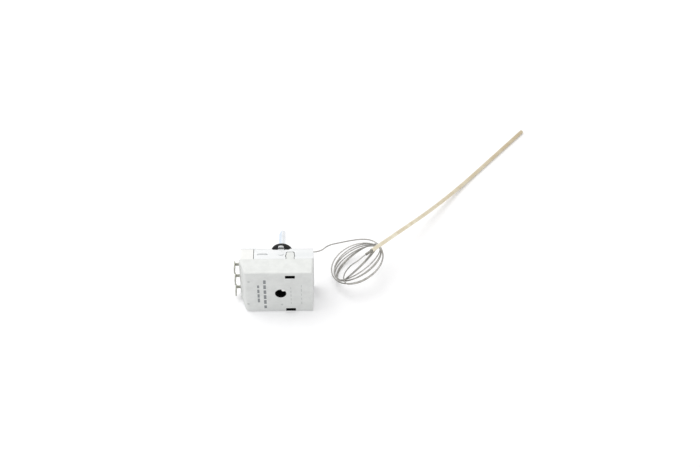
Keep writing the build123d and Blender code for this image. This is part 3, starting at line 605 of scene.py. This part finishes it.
# Painted shade: a near black, dull metal with a weak sheen, for the bridge and its screw
shade_black_metal = finish("painted_shade_black_metal", ("#232425", "#191A1B"), 3.0, 0.25, (0.45, 0.65), 0.004, 0.5)
dress(shade_black_metal, "calibration_bridge", "calibration_screw")
grow("calibration_thread", thread, "case", "turned_brass", Radius=CALIBRATION_RADIUS * MM,
     Height=CALIBRATION_LENGTH * MM, Turns=CALIBRATION_TURNS, Ridge=CALIBRATION_RIDGE * MM,
     Place=(0, CALIBRATION_BACK * MM, 0), Material=shade_black_metal)


# ---------------------------------------------------------------- Capsule, socket and push pin
# Two pressed stainless discs, seam-welded round the rim, hold the capillary's liquid.
# Their welded rim is straw coloured by heat. The pin on them is glazed white ceramic.
RIM_FROM, RIM_TO = 10.2, 11.2

# Pressed stainless is smooth and bright, with faint rings
pressed_stainless = finish("pressed_stainless", ("#D9D8D4", "#CBCAC5"), 4.0, 0.2, (0.22, 0.36), 0.003, 1.0,
                           rings=True)
rim_tree = pressed_stainless.node_tree
rim_place = add(rim_tree, "ShaderNodeTexCoord").outputs["Object"]
flat_place = add(rim_tree, "ShaderNodeVectorMath", {0: rim_place, 1: (1, 0, 1)}, operation="MULTIPLY")
from_axis = add(rim_tree, "ShaderNodeVectorMath", {0: flat_place.outputs[0]}, operation="LENGTH")
rim = add(rim_tree, "ShaderNodeMapRange",
          {"Value": from_axis.outputs["Value"], "From Min": RIM_FROM * MM, "From Max": RIM_TO * MM})
lay_over(pressed_stainless, rim.outputs[0], "#B99A63", most=0.7)
dress(pressed_stainless, "diaphragm_capsule", "capillary_socket")
# Glazed ceramic is white and glossy
glazed_ceramic = finish("glazed_ceramic", ("#F7F5F0", "#EFECE4"), 1.5, 0.3, (0.16, 0.28), 0.002)
dress(glazed_ceramic, "push_pin")


# ---------------------------------------------------------------- Sensing bulb and its neck
# A drawn tube, taken as tin-plated copper from its pale tan, which browns towards the
# far end. Its near end is drawn in and crimped in three rings, which is a guess.
BULB_NEAR = (70.9, 4.4, 14.0)
NECK_END = (66.255, -2.327, 16.33)
BULB_RADIUS, NECK_RADIUS = 1.55, 1.05
BULB_HEADING = 53.0
# The browning begins and would be complete this far from the shaft, along the bulb's heading
BROWN_FROM, BROWN_TO = 80, 280
NECK_PINCH, NECK_WAVES = 0.26, 4.0
# As shares of the neck's length: the end of its taper, and where the pinches set in
TAPER_END, PINCH_FROM, PINCH_FULL = 0.22, 0.24, 0.30


def neck_tree():
    """A tube that tapers from the bulb and is pinched in rings along its narrow part."""
    tree, inputs = new_tree("crimped_neck", Start="Vector", End="Vector", Wide="Float", Narrow="Float",
                            Pinch="Float", Rings="Float")
    line = add(tree, "GeometryNodeCurvePrimitiveLine", {"Start": inputs["Start"], "End": inputs["End"]})
    fine = add(tree, "GeometryNodeResampleCurve", {"Curve": line.outputs[0], "Count": 72})
    share = add(tree, "GeometryNodeSplineParameter").outputs["Factor"]
    taper = add(tree, "ShaderNodeMapRange",
                {"Value": share, "From Max": TAPER_END, "To Min": inputs["Wide"], "To Max": inputs["Narrow"]},
                interpolation_type="SMOOTHSTEP")
    turns = add(tree, "ShaderNodeMath", {0: share, 1: inputs["Rings"]}, operation="MULTIPLY")
    angle = add(tree, "ShaderNodeMath", {0: turns.outputs[0], 1: 2 * math.pi}, operation="MULTIPLY")
    wave = add(tree, "ShaderNodeMath", {0: angle.outputs[0]}, operation="COSINE")
    dip = add(tree, "ShaderNodeMapRange", {"Value": wave.outputs[0], "From Min": 0.35, "From Max": 0.95},
              interpolation_type="SMOOTHSTEP")
    past = add(tree, "ShaderNodeMapRange", {"Value": share, "From Min": PINCH_FROM, "From Max": PINCH_FULL})
    deep = add(tree, "ShaderNodeMath", {0: dip.outputs[0], 1: past.outputs[0]}, operation="MULTIPLY")
    cut = add(tree, "ShaderNodeMath", {0: deep.outputs[0], 1: inputs["Pinch"]}, operation="MULTIPLY")
    radius = add(tree, "ShaderNodeMath", {0: taper.outputs[0], 1: cut.outputs[0]}, operation="SUBTRACT")
    ring = add(tree, "GeometryNodeCurvePrimitiveCircle", {"Resolution": 28, "Radius": 1.0})
    tube = add(tree, "GeometryNodeCurveToMesh",
               {"Curve": fine.outputs[0], "Profile Curve": ring.outputs[0], "Scale": radius.outputs[0],
                "Fill Caps": True})
    end_tree(tree, inputs, tube.outputs[0])
    return tree


# Tin over copper is a warm satin metal, with long faint drawing lines
tinned_copper = finish("tinned_drawn_copper", ("#EAE4D0", "#DBD0B6"), 6.0, 0.25, (0.30, 0.46), 0.003, 1.0,
                       drawn=(8, 1, 1), turn=BULB_HEADING)
heading = (math.cos(math.radians(BULB_HEADING)), math.sin(math.radians(BULB_HEADING)), 0)
lay_over(tinned_copper, along(tinned_copper, heading, BROWN_FROM, BROWN_TO), "#B29C78", most=0.6)
dress(tinned_copper, "sensing_bulb")
# Where it is crimped, the metal is darker and patchy
crimped_metal = finish("crimped_tinned_copper", ("#A9A79E", "#6E6C66"), 0.9, 0.15, (0.28, 0.46), 0.005, 1.0)
crimped_neck = grow("crimped_neck", neck_tree(), "case", "bulb_copper", Start=tuple(c * MM for c in BULB_NEAR),
                    End=tuple(c * MM for c in NECK_END), Wide=BULB_RADIUS * MM, Narrow=NECK_RADIUS * MM,
                    Pinch=NECK_PINCH * MM, Rings=NECK_WAVES, Material=crimped_metal)
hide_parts("bulb_neck")


# ---------------------------------------------------------------- Capillary line
# One drawn stainless tube of 1 mm, filled with liquid: from the case it comes down in a
# loose bow, winds through about six turns that lean and fan out, and climbs to the
# bulb's neck. It bends by hand and keeps its bends.
LEAD_ROUTE = [(25.5, -2.4, 19.6), (31.0, -1.9, 19.5), (36.8, 6.3, 18.4), (45.0, 11.6, 15.6),
              (55.5, 21.0, 9.4), (64.5, 26.4, 5.6), (72.2, 27.2, 3.4), (78.4, 21.2, 3.0)]
COIL_CENTRE = Vector((60.1, 10.4, -6.05))
COIL_AXIS = Vector((-0.49, 0.20, 0.85)).normalized()
COIL_LONG = Vector((-0.6334, -0.7505, -0.1891))
COIL_WIDE = COIL_LONG.cross(COIL_AXIS).normalized()
POINTS_A_TURN = 16
# One tilt in degrees for each half turn, one radius and one rise in mm for each crossing
HALF_TILTS = [10.0, 17.0, 2.0, 6.0, -21.0, -9.0, -23.0, -5.0, -8.0, 0.0, -3.0, 11.0, 10.0]
CROSS_RADII = [22.0, 22.4, 22.2, 20.6, 21.6, 20.4, 22.0, 20.3, 22.4, 20.8, 21.8, 20.2, 22.2, 23.0]
CROSS_RISES = [0.4, -0.6, 0.9, 0.4, 0.3, -0.6, 1.0, -0.7, 0.2, 0.8, -0.4, -0.8, 0.8, -1.4]
# Where the coil starts and ends, counted in half turns
COIL_START, COIL_END = 0.25, 12.75
TAIL_ROUTE = [(54.6, -12.2, -6.4), (51.5, -12.4, -6.2), (49.3, -11.4, -4.4), (48.6, -9.9, -1.4),
              (49.8, -8.0, 2.2), (52.6, -6.6, 6.0), (55.4, -8.6, 11.8), (59.9, -9.0, 15.9),
              (63.52, -6.28, 17.7), (66.255, -2.327, 16.33)]


def coil_route():
    """Points of the fanned turns: each half turn has its own tilt about the long diameter."""
    route = []
    steps = round((COIL_END - COIL_START) * POINTS_A_TURN / 2)
    for i in range(steps + 1):
        halves = COIL_START + i * 2 / POINTS_A_TURN
        h = min(int(halves), len(HALF_TILTS) - 1)
        part = halves - h
        ease = 0.5 - 0.5 * math.cos(math.pi * part)
        radius = CROSS_RADII[h] * (1 - ease) + CROSS_RADII[h + 1] * ease
        rise = CROSS_RISES[h] * (1 - ease) + CROSS_RISES[h + 1] * ease
        tilt = math.radians(HALF_TILTS[h])
        wide = COIL_WIDE * math.cos(tilt) + COIL_AXIS * math.sin(tilt)
        angle = math.pi * (1 + halves)
        spot = COIL_LONG * math.cos(angle) + wide * math.sin(angle)
        route.append(COIL_CENTRE + spot * radius + COIL_AXIS * rise)
    return route


def nurbs_tube(name, route, diameter):
    """A round tube on one smooth open spline, with the route's points as its controls."""
    data = bpy.data.curves.new(name, "CURVE")
    data.dimensions = "3D"
    spline = data.splines.new("NURBS")
    spline.points.add(len(route) - 1)
    for point, place in zip(spline.points, route):
        point.co = (*[c * MM for c in place], 1.0)
    spline.order_u = 3
    spline.use_endpoint_u = True
    spline.resolution_u = 8
    data.bevel_depth = diameter / 2
    data.bevel_resolution = 4
    data.use_fill_caps = True
    tube = bpy.data.objects.new(name, data)
    shown.collection.objects.link(tube)
    return tube


line_route = [Vector(p) for p in LEAD_ROUTE] + coil_route() + [Vector(p) for p in TAIL_ROUTE]
# Drawn stainless is a slightly warm grey, with a satin gloss
drawn_stainless = finish("drawn_stainless_tube", ("#B4B2AE", "#9C9A96"), 3.0, 0.2, (0.26, 0.42), 0.003, 1.0)
dress(drawn_stainless, "capillary_root")
capillary_line = nurbs_tube("capillary_line", line_route, 1.0 * MM)
capillary_line.data.materials.append(drawn_stainless)
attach(capillary_line, "case")
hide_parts("capillary_lead", "capillary_coil", "capillary_tail")
